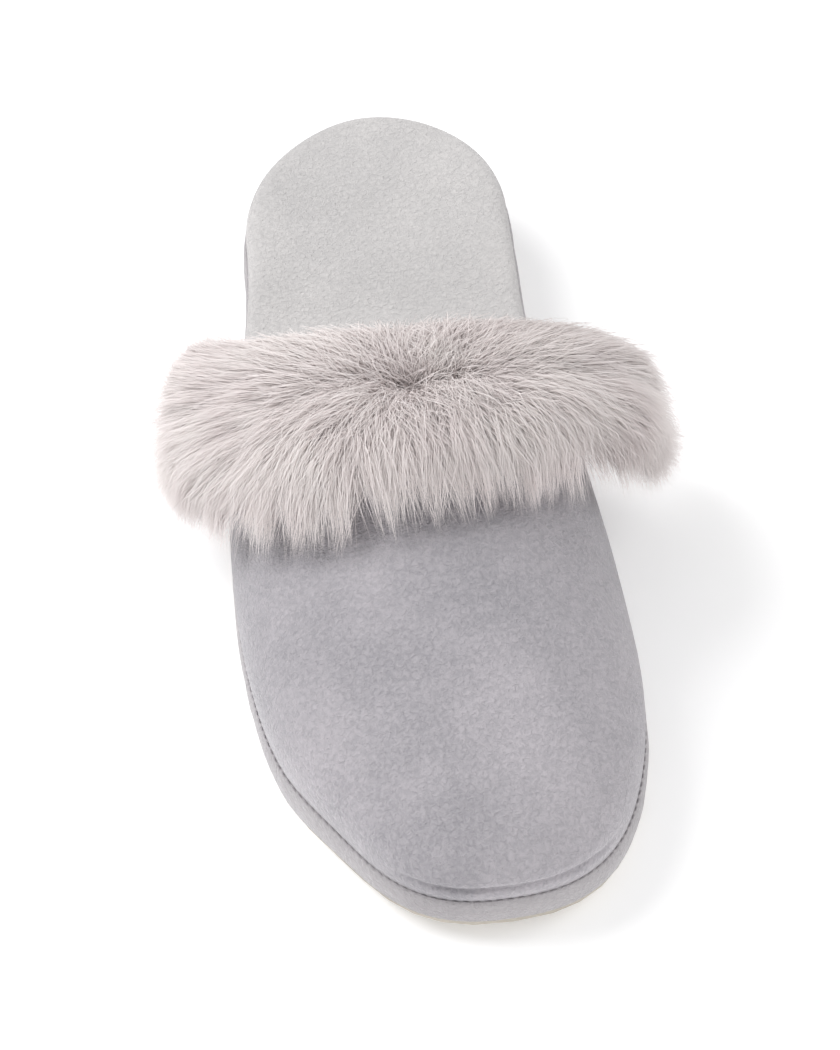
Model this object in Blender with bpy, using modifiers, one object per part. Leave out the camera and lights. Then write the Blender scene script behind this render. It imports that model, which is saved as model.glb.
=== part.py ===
"""A right-foot slip-on slipper with a deep fur trim round its throat.

The toe points to -Y, the heel to +Y and the inner (big toe) side to +X. The origin is on the floor, under
the ball of the foot. Stations along the shoe are shares of its length, 0 at the heel and 1 at the toe.
"""

import math
import random

import bmesh
import bpy
from mathutils import Vector

# Driving sizes, in metres
LENGTH = 0.258
BALL_WIDTH = 0.092
HEEL_WIDTH = 0.069
INSTEP_HEIGHT = 0.049  # outer crest of the upper above its seam, at the throat
OUTSOLE_THICKNESS = 0.0025
MIDSOLE_AT_HEEL = 0.0165
MIDSOLE_AT_BALL = 0.0095
MIDSOLE_AT_TOE = 0.0070
INSOLE_THICKNESS = 0.0060
UPPER_WALL = 0.0030
ARCH_LIFT = 0.0020
TOE_SPRING = 0.0040
HEEL_SPRING = 0.0008
FUR_REACH = 0.032  # how far the pile reaches from its parting, at its longest
FUR_DEPTH = 0.018  # how far it stands off the upper
FUR_OVERHANG = 0.003  # how far its ends hang down over the sole's side
GAP = 0.0003  # between pieces that touch

# Where things are along the length, as shares of it
BALL = 0.66
HEEL_ROUND = 0.15
TOE_ROUND = 0.27
HEEL_FLAT = (0.035, 0.27)
FOREFOOT_FLAT = (0.53, 0.80)
THROAT_CREST = 0.565
THROAT_END = {-1: 0.405, 1: 0.460}  # outer side and inner side
HEEL_POWER = 1.95
TOE_POWER = 2.45

# Edges of the sole pieces, in metres
OUTSOLE_INSET = 0.0009
OUTSOLE_BEVEL = 0.0008
BAND_ROUND = 0.0014
BAND_BULGE = 0.0006
UPPER_INSET = 0.0004
UPPER_BULGE = {-1: 0.0028, 1: 0.0018}  # outer side and inner side
INSOLE_INSET = 0.0006
INSOLE_ROUND = 0.0045
INSOLE_DISH = 0.0010
INSOLE_STEP = 0.045  # share of the length over which the insole narrows to go inside the upper

# The upper's section
UPPER_ROUNDNESS = 2.15
BULGE_TOP = math.radians(55)
THROAT_CURVE = 1.3

# Mesh fineness
HEEL_STEPS = 8
SIDE_STEPS = 13
TOE_STEPS = 9
VAMP_STEPS = 11
VAMP_ROWS = 11
FILL = (0.68, 0.36)  # rings between an edge and the middle line, as shares of the half width
FUR_STATIONS = 33

# half: 0 is the heel's half width and 1 the ball's. swing: the middle line's shift to the inner side, as a share of
# the ball width
PLAN = (
    dict(along=0.00, half=0.00, swing=0.045),
    dict(along=0.20, half=0.00, swing=0.012),
    dict(along=0.35, half=0.27, swing=-0.035),
    dict(along=0.50, half=0.75, swing=-0.049),
    dict(along=0.66, half=1.00, swing=-0.049),
    dict(along=0.80, half=0.90, swing=-0.030),
    dict(along=0.90, half=0.56, swing=0.004),
    dict(along=1.00, half=0.50, swing=0.012),
)
# height: the crest above the seam, as a share of the instep height. ridge: its shift to the inner side from the
# middle line, as a share of the ball width
CREST = (
    dict(along=0.44, height=1.06, ridge=0.115),
    dict(along=0.565, height=1.00, ridge=0.110),
    dict(along=0.68, height=0.855, ridge=0.085),
    dict(along=0.80, height=0.70, ridge=0.045),
    dict(along=0.90, height=0.61, ridge=0.030),
    dict(along=1.00, height=0.56, ridge=0.020),
)
# The pile along the trim: -1 is its outer end, 0 the crest and 1 its inner end. front, back and depth are shares
# of FUR_REACH and FUR_DEPTH. fan is how far the tips lean towards the end, as a share of FUR_REACH
PILE = (
    dict(along=-1.0, front=0.86, back=0.94, depth=0.84, fan=0.28),
    dict(along=-0.6, front=1.06, back=0.92, depth=0.98, fan=0.24),
    dict(along=0.0, front=0.78, back=0.80, depth=1.00, fan=0.00),
    dict(along=0.6, front=0.80, back=0.86, depth=1.32, fan=0.24),
    dict(along=1.0, front=0.84, back=0.80, depth=1.24, fan=0.28),
)
# The pile's outline from its parting to its fringe, ahead of the throat's edge (-1) and behind it (1). across is a
# share of its reach and off a share of its depth
PILE_OUTLINE = {
    -1: (
        dict(across=0.00, off=0.78),
        dict(across=0.14, off=0.86),
        dict(across=0.36, off=0.88),
        dict(across=0.60, off=0.70),
        dict(across=0.78, off=0.42),
        dict(across=0.86, off=0.10),
    ),
    1: (
        dict(across=0.00, off=0.78),
        dict(across=0.14, off=0.84),
        dict(across=0.38, off=0.84),
        dict(across=0.64, off=0.66),
        dict(across=0.82, off=0.38),
        dict(across=0.86, off=0.06),
        dict(across=0.70, off=-0.16),
        dict(across=0.42, off=-0.24),
        dict(across=0.12, off=-0.18),
        dict(across=0.06, off=0.04),
    ),
}
FRINGE = 5  # the row of PILE_OUTLINE where the fringe hangs
SEAT = (0.04, 0.20, 0.44, 0.66, 0.82)  # across, where the pile's body lies on the upper
SEAT_GAP = 0.0006
SIDE_CLEARANCE = 0.0014  # between the pile and the sole's side, at the pile's back
# Rows of locks laid like thatch. root and tip are shares of the way from the parting to the fringe, and lift is the
# tip's height off the body as a share of the depth
LOCK_ROWS = (
    dict(toward=-1, root=0.34, tip=1.22, lift=0.06, width=0.0100, pitch=0.0080, shift=0.0),
    dict(toward=-1, root=0.10, tip=0.88, lift=0.20, width=0.0100, pitch=0.0100, shift=0.5),
    dict(toward=-1, root=-0.10, tip=0.55, lift=0.26, width=0.0095, pitch=0.0130, shift=0.2),
    dict(toward=1, root=-0.10, tip=0.55, lift=0.26, width=0.0095, pitch=0.0130, shift=0.7),
    dict(toward=1, root=0.10, tip=0.88, lift=0.20, width=0.0100, pitch=0.0100, shift=0.9),
    dict(toward=1, root=0.34, tip=1.22, lift=0.08, width=0.0100, pitch=0.0080, shift=0.4),
)
# One lock from its root to its tip. sink is how deep its middle lies in the body, as a share of the width
LOCK = (
    dict(along=0.00, wide=0.40, sink=0.26),
    dict(along=0.32, wide=1.00, sink=0.10),
    dict(along=0.66, wide=0.66, sink=0.02),
    dict(along=1.00, wide=0.00, sink=0.00),
)
LOCK_SIDES = 3
LOCK_THICKNESS = 0.46  # of its width
LOCK_SEED = 7
FUR_END_SPAN = 0.12  # share of the trim's path over which each end rounds off
WRAP_RISE = (math.radians(24), math.radians(48))  # where on the section the pile begins to wrap inside


def clamp(value, low, high):
    return max(low, min(high, value))


def smooth(value, low, high):
    """0 below low, 1 above high, and a smooth rise between them."""
    t = clamp((value - low) / (high - low), 0.0, 1.0)
    return t * t * (3 - 2 * t)


def mix(first, second, share):
    return first + (second - first) * share


def along_table(rows, column, share):
    """A column's value at a station: a smooth curve through the rows."""
    share = clamp(share, rows[0]["along"], rows[-1]["along"])
    here = max(i for i in range(len(rows) - 1) if rows[i]["along"] <= share)

    def slope(i):
        low, high = rows[max(i - 1, 0)], rows[min(i + 1, len(rows) - 1)]
        return (high[column] - low[column]) / (high["along"] - low["along"])

    first, second = rows[here], rows[here + 1]
    span = second["along"] - first["along"]
    t = (share - first["along"]) / span
    return (
        first[column] * (2 * t**3 - 3 * t**2 + 1)
        + slope(here) * span * (t**3 - 2 * t**2 + t)
        + second[column] * (3 * t**2 - 2 * t**3)
        + slope(here + 1) * span * (t**3 - t**2)
    )


def y_of(share):
    return (BALL - share) * LENGTH


def share_of(y):
    return BALL - y / LENGTH


def middle_x(share):
    return BALL_WIDTH * along_table(PLAN, "swing", share)


def half_width(share):
    return mix(HEEL_WIDTH, BALL_WIDTH, along_table(PLAN, "half", share)) / 2


def floor_lift(share):
    """The outsole's underside above the floor: flat under heel and forefoot, lifted at the arch and both ends."""
    arch_middle = (HEEL_FLAT[1] + FOREFOOT_FLAT[0]) / 2
    arch = smooth(share, HEEL_FLAT[1], arch_middle) - smooth(share, arch_middle, FOREFOOT_FLAT[0])
    toe = clamp((share - FOREFOOT_FLAT[1]) / (1 - FOREFOOT_FLAT[1]), 0, 1) ** 2
    heel = clamp(1 - share / HEEL_FLAT[0], 0, 1) ** 2
    return ARCH_LIFT * arch + TOE_SPRING * toe + HEEL_SPRING * heel


def midsole_thickness(share):
    wedge = mix(MIDSOLE_AT_HEEL, MIDSOLE_AT_BALL, smooth(share, 0.18, 0.62))
    return mix(wedge, MIDSOLE_AT_TOE, smooth(share, 0.78, 1.0))


def midsole_bottom(share):
    return floor_lift(share) + OUTSOLE_THICKNESS + GAP


def seam_height(share):
    """The top of the midsole, where the upper and the insole are sewn to it."""
    return midsole_bottom(share) + midsole_thickness(share)


def side_samples():
    """(station, share of the half width) down one side, from the heel's end to the toe's."""
    heel = [math.pi / 2 * i / HEEL_STEPS for i in range(HEEL_STEPS)]
    toe = [math.pi / 2 * i / TOE_STEPS for i in range(TOE_STEPS + 1)]
    span = 1 - TOE_ROUND - HEEL_ROUND
    return (
        [(HEEL_ROUND * (1 - math.cos(a) ** (2 / HEEL_POWER)), math.sin(a) ** (2 / HEEL_POWER)) for a in heel]
        + [(HEEL_ROUND + span * i / SIDE_STEPS, 1.0) for i in range(SIDE_STEPS)]
        + [toe_sample(a) for a in toe]
    )


def toe_sample(angle):
    """A point of the toe's round end, from the side (0) to the tip (a right angle)."""
    station = 1 - TOE_ROUND + TOE_ROUND * abs(math.sin(angle)) ** (2 / TOE_POWER)
    return station, max(math.cos(angle), 0.0) ** (2 / TOE_POWER)


def outline_point(share, across, side):
    return Vector((middle_x(share) + side * half_width(share) * across, y_of(share), 0))


def outline():
    """The sole's outline, once round from the heel's end by the outer side, as (point, side)."""
    samples = side_samples()
    outer = [(outline_point(s, a, -1), -1) for s, a in samples]
    inner = [(outline_point(s, a, 1), 1) for s, a in samples[-2:0:-1]]
    return outer + inner


def outward(points, i):
    """The level direction out of a closed outline at one of its points."""
    run = points[(i + 1) % len(points)] - points[i - 1]
    return Vector((run.y, -run.x, 0)).normalized()


def middle_point(point):
    """The point of the sole's middle line that an outline point's ring closes on."""
    share = clamp(share_of(point.y), HEEL_ROUND, 1 - TOE_ROUND)
    return Vector((middle_x(share), y_of(share), 0))


def ring(inset, height, fill=1.0):
    """One ring of a sole piece. inset(share, side) and height(share, fill) are functions, and fill draws the ring
    in towards the middle line."""
    points = [p for p, side in outline()]
    made = []
    for i, (point, side) in enumerate(outline()):
        edge = point - outward(points, i) * inset(share_of(point.y), side)
        place = mix(middle_point(point), edge, fill)
        share = share_of(place.y)
        made.append(Vector((place.x, place.y, height(share, fill))))
    return made


def link(obj):
    parts.objects.link(obj)
    return obj


def paint(obj, colour, roughness):
    material = bpy.data.materials.new(obj.name)
    material.use_nodes = True
    shader = material.node_tree.nodes["Principled BSDF"]
    shader.inputs["Base Color"].default_value = (*colour, 1)
    shader.inputs["Roughness"].default_value = roughness
    shader.inputs["Metallic"].default_value = 0.0
    obj.data.materials.append(material)


def skin(name, rows, closed_rows, close_ends=False):
    """A mesh object over rows of points with faces between each row and the next. Points in one place are merged."""
    mesh = bpy.data.meshes.new(name)
    shape = bmesh.new()
    grid = [[shape.verts.new(p) for p in row] for row in rows]
    for low, high in zip(grid, grid[1:]):
        count = len(low)
        for i in range(count if closed_rows else count - 1):
            j = (i + 1) % count
            shape.faces.new((low[i], low[j], high[j], high[i]))
    if close_ends:
        shape.faces.new(grid[0][::-1])
        shape.faces.new(grid[-1])
    bmesh.ops.remove_doubles(shape, verts=shape.verts, dist=1e-6)
    bmesh.ops.dissolve_degenerate(shape, edges=shape.edges, dist=1e-6)
    bmesh.ops.recalc_face_normals(shape, faces=shape.faces)
    shape.to_mesh(mesh)
    shape.free()
    mesh.shade_smooth()
    return bpy.data.objects.new(name, mesh)


def plain(value):
    """An inset that is the same all round."""
    return lambda share, side: value


def make_outsole():
    """A thin flat sheet with bevelled edges."""

    def under(share, fill):
        return floor_lift(share)

    def bevel(share, fill):
        return floor_lift(share) + OUTSOLE_BEVEL

    def top(share, fill):
        return floor_lift(share) + OUTSOLE_THICKNESS

    low, edge = plain(OUTSOLE_INSET + OUTSOLE_BEVEL), plain(OUTSOLE_INSET)
    rows = [ring(low, under, k) for k in (0.0, *FILL[::-1], 1.0)]
    rows += [ring(edge, bevel), ring(edge, top)]
    rows += [ring(edge, top, k) for k in (*FILL, 0.0)]
    outsole = link(skin("outsole", rows, closed_rows=True))
    paint(outsole, (0.62, 0.55, 0.43), 0.75)
    return outsole


def make_midsole():
    """The foam platform in its cloth wrap: a thin wedge with a soft side that bulges between its two seams."""

    def level(share_up, drop=0.0):
        return lambda share, fill: midsole_bottom(share) + midsole_thickness(share) * share_up + drop

    levels = (
        (BAND_ROUND, 0.0, 0.0),
        (0.0, 0.0, BAND_ROUND),
        (-BAND_BULGE, 0.5, 0.0),
        (0.0, 1.0, -BAND_ROUND),
        (BAND_ROUND * 0.3, 1.0, -BAND_ROUND * 0.3),
        (BAND_ROUND, 1.0, 0.0),
    )
    rows = [ring(plain(levels[0][0]), level(0.0), k) for k in (0.0, *FILL[::-1])]
    rows += [ring(plain(inset), level(up, drop)) for inset, up, drop in levels]
    rows += [ring(plain(levels[-1][0]), level(1.0), k) for k in (*FILL, 0.0)]
    midsole = link(skin("wrapped_midsole", rows, closed_rows=True))
    paint(midsole, (0.60, 0.59, 0.61), 0.9)
    return midsole


def insole_inset(extra):
    """Full width behind the upper, and inside the upper's wall from its rear ends on."""

    def inset(share, side):
        end = THROAT_END[side] - 0.012
        inside = smooth(share, end - INSOLE_STEP, end)
        return mix(INSOLE_INSET, UPPER_INSET + UPPER_WALL + 2 * GAP, inside) + extra

    return inset


def make_insole():
    """The padded footbed: a pillow edge and a slightly dished top."""

    def level(share_up):
        return lambda share, fill: seam_height(share) + GAP + INSOLE_THICKNESS * share_up

    def dished(share, fill):
        return seam_height(share) + GAP + INSOLE_THICKNESS - INSOLE_DISH * (1 - fill**2)

    edge = ((0.8, 0.0), (0.15, 0.16), (0.0, 0.40), (0.22, 0.72), (0.62, 0.93), (1.0, 1.0))
    flat = insole_inset(edge[0][0] * INSOLE_ROUND)
    rows = [ring(flat, level(0.0), k) for k in (0.0, *FILL[::-1])]
    rows += [ring(insole_inset(inward * INSOLE_ROUND * 0.8), level(up)) for inward, up in edge]
    rows[len(FILL) + 1] = ring(flat, level(0.0))
    rows += [ring(insole_inset(INSOLE_ROUND), dished, k) for k in (*FILL, 0.0)]
    insole = link(skin("insole", rows, closed_rows=True))
    paint(insole, (0.66, 0.65, 0.64), 0.95)
    return insole


def upper_point(side, share, across, rise):
    """A point of the upper's outer face. share and across give its foot on the outline, and rise is the angle up
    the section, from the seam (0) to the crest (a right angle)."""
    foot = outline_point(share, across, side)
    crest_share = min(share, 1 - TOE_ROUND)
    ridge = BALL_WIDTH * along_table(CREST, "ridge", crest_share)
    crest = Vector((middle_x(crest_share) + ridge, y_of(crest_share), 0))
    reach = foot - crest
    out = reach.normalized()
    level = max(math.cos(rise), 0.0) ** (2 / UPPER_ROUNDNESS)
    up = math.sin(rise) ** (2 / UPPER_ROUNDNESS)
    fullness = mix(sum(UPPER_BULGE.values()) / 2, UPPER_BULGE[side], across)
    bulge = fullness * math.sin(math.pi * min(1.0, rise / BULGE_TOP))
    place = crest + reach * level + out * (bulge - UPPER_INSET * level)
    here = share_of(place.y)
    height = INSTEP_HEIGHT * along_table(CREST, "height", here)
    return Vector((place.x, place.y, seam_height(here) + GAP + height * up))


def throat_share(side, rise):
    """The station of the throat's edge at a height on the section."""
    return mix(THROAT_END[side], THROAT_CREST, math.sin(rise) ** THROAT_CURVE)


def upper_row(rise):
    """A row of the upper from the throat's outer end round the toe to its inner end."""
    start = 1 - TOE_ROUND
    sides = {}
    for side in (-1, 1):
        throat = throat_share(side, rise)
        sides[side] = [
            upper_point(side, mix(throat, start, i / VAMP_STEPS), 1.0, rise) for i in range(VAMP_STEPS)
        ]
    turn = [math.pi / 2 * i / TOE_STEPS for i in range(TOE_STEPS + 1)]
    outer_toe = [upper_point(-1, *toe_sample(a), rise) for a in turn]
    inner_toe = [upper_point(1, *toe_sample(a), rise) for a in turn[-2::-1]]
    return sides[-1] + outer_toe + inner_toe + sides[1][::-1]


def make_upper():
    """The vamp: one open shell, worked out from the last's sections, with its real wall."""
    rises = [math.pi / 2 * i / VAMP_ROWS for i in range(VAMP_ROWS + 1)]
    upper = link(skin("upper", [upper_row(r) for r in rises], closed_rows=False))
    wall = upper.modifiers.new("wall", "SOLIDIFY")
    wall.thickness = UPPER_WALL
    wall.offset = -1
    wall.use_even_offset = True
    paint(upper, (0.60, 0.59, 0.61), 0.95)
    return upper


def edge_place(travel):
    """(side, rise, drop) on the throat's edge. travel goes from -1, the outer end, over the crest to 1. drop is how
    far below the edge's foot the place hangs, over the sole's side."""
    side = -1 if travel < 0 else 1
    hang = 0.06
    climb = 1 - abs(travel)
    rise = math.pi / 2 * clamp((climb - hang) / (1 - hang), 0.0, 1.0)
    return side, rise, FUR_OVERHANG * clamp(1 - climb / hang, 0.0, 1.0)


def face_frame(side, share, rise):
    """(point, normal) of the upper's outer face at a station."""
    step = 0.002
    here = upper_point(side, share, 1.0, rise)
    ahead = upper_point(side, share + step, 1.0, rise) - upper_point(side, share - step, 1.0, rise)
    low, high = max(rise - 0.02, 0.0), min(rise + 0.02, math.pi / 2)
    climb = upper_point(side, share, 1.0, high) - upper_point(side, share, 1.0, low)
    return here, climb.cross(ahead).normalized() * side


def pile_size(travel):
    """The section's size along the trim: full, and rounded off at each end."""
    share = clamp((1 - abs(travel)) / FUR_END_SPAN, 0.0, 1.0)
    return 0.35 + 0.65 * math.sqrt(1 - (1 - share) ** 2)


def pile_point(travel, toward, across, off, clear=0.0):
    """A point of the pile. across and off are shares as in PILE_OUTLINE, and clear keeps it off the sole's side."""
    side, rise, drop = edge_place(travel)
    size = pile_size(travel)
    reach = FUR_REACH * along_table(PILE, "front" if toward < 0 else "back", travel) * size * across
    depth = FUR_DEPTH * along_table(PILE, "depth", travel) * (size if off > 0 else 1.0) * off
    edge_share = throat_share(side, rise)
    down = Vector((0, 0, -drop))
    if toward < 0:
        foot, normal = face_frame(side, edge_share + reach / LENGTH, rise)
        least = SEAT_GAP + clear + (UPPER_INSET + BAND_BULGE + SIDE_CLEARANCE) * (1 - smooth(rise, 0, WRAP_RISE[0]))
        return foot + down + normal * max(depth, least)
    inside = smooth(rise, *WRAP_RISE)
    foot, normal = face_frame(side, edge_share, rise)
    back = Vector((0, 1, 0))
    back = (back - normal * back.dot(normal)).normalized()
    sag = Vector((0, 0, -0.35 * FUR_REACH)) * (across * size) ** 2 * inside
    least = mix(UPPER_INSET + BAND_BULGE + 2 * GAP + clear + SIDE_CLEARANCE * across, -FUR_DEPTH, inside)
    return foot + down + sag + back * reach + normal * max(depth, least)


def outline_place(toward, share):
    """(across, off) a share of the way from the parting to the fringe, and beyond it below 0 and past 1."""
    rows = PILE_OUTLINE[toward][: FRINGE + 1]
    steps = [math.hypot(b["across"] - a["across"], b["off"] - a["off"]) for a, b in zip(rows, rows[1:])]
    left = share * sum(steps)
    for a, b, step in zip(rows, rows[1:], steps):
        if left <= step or b is rows[-1]:
            return mix(a["across"], b["across"], left / step), mix(a["off"], b["off"], left / step)
        left -= step


def pile_section(travel):
    front = [pile_point(travel, -1, row["across"], row["off"]) for row in PILE_OUTLINE[-1][:0:-1]]
    behind = [pile_point(travel, 1, row["across"], row["off"]) for row in PILE_OUTLINE[1]]
    seat = [pile_point(travel, -1, across, 0.0) for across in SEAT]
    return front + behind + seat


def lock_rings(travel, row, draw):
    """One lock: sections with a ridge along the top that follow the body's outline and shrink to a tip."""
    toward = row["toward"]
    size = 0.55 + 0.45 * pile_size(travel)
    width = row["width"] * size * draw.uniform(0.88, 1.10)
    tip = row["tip"] + draw.uniform(-0.07, 0.07)
    fan = math.copysign(FUR_REACH * along_table(PILE, "fan", travel), travel) + draw.uniform(-0.3, 0.3) * width
    before, after = max(travel - 0.02, -1), min(travel + 0.02, 1)
    sideways = (pile_point(after, toward, 0.3, 0.5) - pile_point(before, toward, 0.3, 0.5)).normalized()
    places = []
    for station in LOCK:
        along = station["along"]
        across, off = outline_place(toward, mix(row["root"], tip, along))
        off += row["lift"] * along
        clear = width * LOCK_THICKNESS / 2 * min(1.0, 3 * along)
        place = pile_point(travel, toward, across, off, clear)
        places.append(place + sideways * fan * (tip - row["root"]) * along**1.5)
    rings = []
    for i, (station, place) in enumerate(zip(LOCK, places)):
        run = places[min(i + 1, len(places) - 1)] - places[max(i - 1, 0)]
        flat = (sideways - run * sideways.dot(run) / run.length_squared).normalized()
        top = flat.cross(run).normalized() * toward
        half = width / 2 * station["wide"]
        centre = place - top * width * station["sink"]
        turns = [math.pi * (0.5 + 2 * k / LOCK_SIDES) for k in range(LOCK_SIDES)]
        rings.append([centre + (flat * math.cos(a) + top * LOCK_THICKNESS * math.sin(a)) * half for a in turns])
    return rings


def trim_length():
    points = [pile_point(-1 + 2 * i / 80, -1, 0.0, 0.5) for i in range(81)]
    return sum((b - a).length for a, b in zip(points, points[1:]))


def make_locks():
    """All the locks in one object, each a closed tuft."""
    draw = random.Random(LOCK_SEED)
    shape = bmesh.new()
    for row in LOCK_ROWS:
        count = int(trim_length() * 0.96 / row["pitch"])
        for i in range(count):
            travel = -0.96 + 1.92 * (i + row["shift"]) / count
            *rings, tip = [[shape.verts.new(p) for p in points] for points in lock_rings(travel, row, draw)]
            for low, high in zip(rings, rings[1:] + [tip]):
                for k in range(LOCK_SIDES):
                    j = (k + 1) % LOCK_SIDES
                    shape.faces.new((low[k], low[j], high[j], high[k]))
            shape.faces.new(rings[0][::-1])
    bmesh.ops.remove_doubles(shape, verts=shape.verts, dist=1e-7)
    bmesh.ops.dissolve_degenerate(shape, edges=shape.edges, dist=1e-7)
    bmesh.ops.recalc_face_normals(shape, faces=shape.faces)
    mesh = bpy.data.meshes.new("locks")
    shape.to_mesh(mesh)
    shape.free()
    locks = bpy.data.objects.new("locks", mesh)
    locks.hide_render = True
    locks.display_type = "WIRE"
    cutters.objects.link(locks)
    return locks


def make_fur_trim():
    """The pile as one solid: a roll with a parting along its top, and rows of locks fused on."""
    rows = [pile_section(-1 + 2 * i / (FUR_STATIONS - 1)) for i in range(FUR_STATIONS)]
    trim = link(skin("fur_trim", rows, closed_rows=True, close_ends=True))
    fuse = trim.modifiers.new("fuse_locks", "BOOLEAN")
    fuse.operation = "UNION"
    fuse.solver = "EXACT"
    fuse.use_self = True
    fuse.object = make_locks()
    paint(trim, (0.62, 0.57, 0.56), 1.0)
    return trim


for old in list(bpy.data.objects):
    bpy.data.objects.remove(old, do_unlink=True)
parts = bpy.data.collections.new("fur_trim_slipper")
cutters = bpy.data.collections.new("fused_shapes")
bpy.context.scene.collection.children.link(parts)
bpy.context.scene.collection.children.link(cutters)

make_outsole()
make_midsole()
make_insole()
make_upper()
make_fur_trim()
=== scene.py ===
"""The looks of a right-foot slipper with a deep fur trim: velour, padding, stitches and pile.

The sizes and section functions repeat those of the part's source, so that the sole, the insole and the upper
lie on their solids. Only the pile has a table of its own, and its hairs reach further than its solid does.
"""

import math

import bmesh
import bpy
import numpy as np
from mathutils import Matrix, Vector, noise


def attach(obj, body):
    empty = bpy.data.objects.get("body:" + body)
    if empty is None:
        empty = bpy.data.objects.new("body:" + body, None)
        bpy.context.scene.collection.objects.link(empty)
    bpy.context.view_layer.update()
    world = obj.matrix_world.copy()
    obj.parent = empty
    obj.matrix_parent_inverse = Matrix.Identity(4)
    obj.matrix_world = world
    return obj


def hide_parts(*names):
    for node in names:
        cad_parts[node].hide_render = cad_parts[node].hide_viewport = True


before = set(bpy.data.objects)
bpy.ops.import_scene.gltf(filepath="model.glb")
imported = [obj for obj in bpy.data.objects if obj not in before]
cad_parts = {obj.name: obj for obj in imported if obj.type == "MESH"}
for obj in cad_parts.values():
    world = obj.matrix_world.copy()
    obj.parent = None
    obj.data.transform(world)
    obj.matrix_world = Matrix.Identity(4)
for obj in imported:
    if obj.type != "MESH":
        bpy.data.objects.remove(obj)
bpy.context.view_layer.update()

# Sizes of the shoe, in metres
LENGTH = 0.258
BALL_WIDTH = 0.092
HEEL_WIDTH = 0.069
INSTEP_HEIGHT = 0.049
OUTSOLE_THICKNESS = 0.0025
MIDSOLE_AT_HEEL = 0.0165
MIDSOLE_AT_BALL = 0.0095
MIDSOLE_AT_TOE = 0.0070
INSOLE_THICKNESS = 0.0060
UPPER_WALL = 0.0030
ARCH_LIFT = 0.0020
TOE_SPRING = 0.0040
HEEL_SPRING = 0.0008
FUR_REACH = 0.032  # how far the pile reaches from its parting
FUR_DEPTH = 0.018  # how far it stands off the upper
FUR_OVERHANG = 0.003  # how far its ends hang down over the sole's side
GAP = 0.0003  # between pieces that touch

# Stations along the shoe, as shares of its length from the heel
BALL = 0.66
HEEL_ROUND = 0.15
TOE_ROUND = 0.27
HEEL_FLAT = (0.035, 0.27)
FOREFOOT_FLAT = (0.53, 0.80)
THROAT_CREST = 0.565
THROAT_END = {-1: 0.405, 1: 0.460}  # outer side and inner side
HEEL_POWER = 1.95
TOE_POWER = 2.45

# Edges and sections
BAND_ROUND = 0.0014
BAND_BULGE = 0.0006
UPPER_INSET = 0.0004
UPPER_BULGE = {-1: 0.0028, 1: 0.0018}
INSOLE_INSET = 0.0006
INSOLE_ROUND = 0.0045
INSOLE_DISH = 0.0010
INSOLE_STEP = 0.045
SEAM_TUCK = 0.0005  # how far the upper's foot sinks, so that its seam closes
UPPER_ROUNDNESS = 2.15
BULGE_TOP = math.radians(55)
THROAT_CURVE = 1.3
SIDE_CLEARANCE = 0.0014  # between the pile and the sole's side
SEAT_GAP = 0.0008  # between the hairs and the upper, ahead of the throat's edge
WRAP_RISE = (math.radians(24), math.radians(48))
FUR_END_SPAN = 0.12

# half: 0 is the heel's half width and 1 the ball's. swing: the middle line's shift to the inner side, as a
# share of the ball width
PLAN = (
    dict(along=0.00, half=0.00, swing=0.045),
    dict(along=0.20, half=0.00, swing=0.012),
    dict(along=0.35, half=0.27, swing=-0.035),
    dict(along=0.50, half=0.75, swing=-0.049),
    dict(along=0.66, half=1.00, swing=-0.049),
    dict(along=0.80, half=0.90, swing=-0.030),
    dict(along=0.90, half=0.56, swing=0.004),
    dict(along=1.00, half=0.50, swing=0.012),
)
# height: the crest above the seam, as a share of the instep height. ridge: its shift to the inner side from
# the middle line, as a share of the ball width
CREST = (
    dict(along=0.44, height=1.06, ridge=0.115),
    dict(along=0.565, height=1.00, ridge=0.110),
    dict(along=0.68, height=0.855, ridge=0.085),
    dict(along=0.80, height=0.70, ridge=0.045),
    dict(along=0.90, height=0.61, ridge=0.030),
    dict(along=1.00, height=0.56, ridge=0.020),
)
# The pile along the trim: -1 is its outer end, 0 the crest and 1 its inner end. front, back and depth are
# shares of FUR_REACH and FUR_DEPTH
PILE = (
    dict(along=-1.0, front=1.28, back=0.98, depth=0.76),
    dict(along=-0.6, front=1.32, back=1.04, depth=0.96),
    dict(along=0.0, front=0.92, back=0.90, depth=1.06),
    dict(along=0.6, front=1.06, back=0.58, depth=1.24),
    dict(along=1.0, front=1.50, back=0.50, depth=1.02),
)

# Fineness of the cloth meshes, much finer than the solids
HEEL_STEPS = 22
SIDE_STEPS = 40
TOE_STEPS = 26
VAMP_STEPS = 44
VAMP_ROWS = 84


def clamp(value, low, high):
    return max(low, min(high, value))


def smooth(value, low, high):
    t = clamp((value - low) / (high - low), 0.0, 1.0)
    return t * t * (3 - 2 * t)


def bell(value, middle, width):
    """1 at the middle, falling away smoothly on both sides."""
    return math.exp(-(((value - middle) / width) ** 2))


def mix(first, second, share):
    return first + (second - first) * share


def along_table(rows, column, share):
    """A column's value at a station: a smooth curve through the rows."""
    share = clamp(share, rows[0]["along"], rows[-1]["along"])
    here = max(i for i in range(len(rows) - 1) if rows[i]["along"] <= share)

    def slope(i):
        low, high = rows[max(i - 1, 0)], rows[min(i + 1, len(rows) - 1)]
        return (high[column] - low[column]) / (high["along"] - low["along"])

    first, second = rows[here], rows[here + 1]
    span = second["along"] - first["along"]
    t = (share - first["along"]) / span
    return (
        first[column] * (2 * t**3 - 3 * t**2 + 1)
        + slope(here) * span * (t**3 - 2 * t**2 + t)
        + second[column] * (3 * t**2 - 2 * t**3)
        + slope(here + 1) * span * (t**3 - t**2)
    )


def y_of(share):
    return (BALL - share) * LENGTH


def share_of(y):
    return BALL - y / LENGTH


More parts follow.
